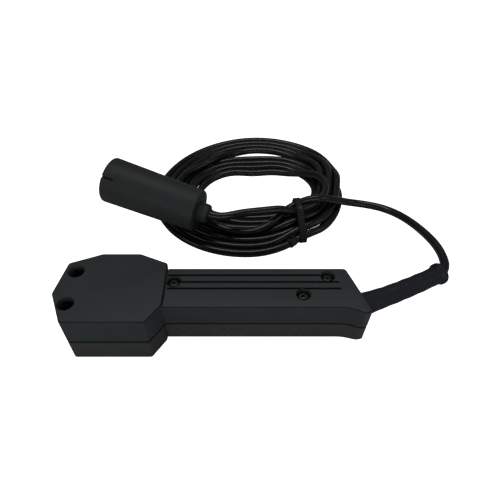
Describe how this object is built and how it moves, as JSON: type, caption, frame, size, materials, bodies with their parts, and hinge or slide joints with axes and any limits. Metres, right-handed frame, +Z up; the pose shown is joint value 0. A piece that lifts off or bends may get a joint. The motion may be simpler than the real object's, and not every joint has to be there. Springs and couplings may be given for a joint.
{
  "type": "corded hand pendant control",
  "caption": "Black two-shell hand control with a wide head, grooved grip, recessed two-way rocker, bent strain relief, tied coil of lead and a round moulded plug.",
  "frame": {"origin": "under the middle of the housing, on the surface that its front face lies on", "axes": "+X along the grip from the head towards the lead, +Y across the grip, +Z up, from the front face to the back"},
  "size_m": [0.2388, 0.2342, 0.0521],
  "materials": {
    "housing": "fine-grained black moulded plastic",
    "housing_front": "fine-grained black moulded plastic",
    "gasket": "soft black sealing strip",
    "steel": "zinc-plated",
    "brass": "plain",
    "spade_sleeve": "translucent sleeve",
    "switch_plastic": "smooth black",
    "rocker_plastic": "satin black",
    "tie_nylon": "black nylon",
    "cord_jacket": "glossy black jacket",
    "plug_rubber": "matte moulded rubber",
    "plug_carrier": "smooth black",
    "boot_rubber": "smooth matte rubber",
    "wire_red": "insulated wire",
    "wire_white": "insulated wire",
    "wire_black": "insulated wire"
  },
  "bodies": {
    "housing": {"back_shell": "housing", "cable_tie_head": "tie_nylon", "cable_tie_strap": "tie_nylon", "clamp_screw_1": "steel", "clamp_screw_2": "steel", "cord_clamp": "switch_plastic", "cord_coil": "cord_jacket", "cord_free_run": "cord_jacket", "cord_tail": "cord_jacket", "front_shell": "housing_front", "housing_screw_1": "steel", "housing_screw_2": "steel", "housing_screw_3": "steel", "housing_screw_4": "steel", "housing_screw_5": "steel", "inner_lead": "cord_jacket", "pivot_pin": "steel", "plug_body": "plug_rubber", "plug_contact_1": "brass", "plug_contact_2": "brass", "plug_contact_3": "brass", "plug_contact_4": "brass", "plug_insert": "plug_carrier", "plug_neck": "plug_rubber", "seam_gasket": "gasket", "spade_connector_1": "spade_sleeve", "spade_connector_2": "spade_sleeve", "spade_connector_3": "spade_sleeve", "strain_relief_boot": "boot_rubber", "switch_bezel": "switch_plastic", "switch_body": "switch_plastic", "switch_terminal_1": "brass", "switch_terminal_2": "brass", "switch_terminal_3": "brass", "threaded_insert_1": "brass", "threaded_insert_2": "brass", "threaded_insert_3": "brass", "threaded_insert_4": "brass", "threaded_insert_5": "brass", "wire_a": "wire_red", "wire_b": "wire_white", "wire_c": "wire_black"},
    "rocker": {"contact_plunger": "switch_plastic", "switch_rocker": "rocker_plastic"},
    "blade": {"contact_blade": "brass"}
  },
  "joints": [
    {"name": "rocker_tilt", "type": "hinge", "parent": "housing", "child": "rocker", "pos_m": [-0.056, 0, 0.0095], "axis": [0, 1, 0], "range_deg": [-10, 10], "stiffness_Nm_per_rad": 0.05},
    {"name": "blade_tilt", "type": "hinge", "parent": "housing", "child": "blade", "pos_m": [-0.056, 0, 0.017], "axis": [0, 1, 0], "range_deg": [-6, 6]}
  ],
  "couplings": [
    {"joint": "blade_tilt", "follows": "rocker_tilt", "ratio": -0.55}
  ]
}
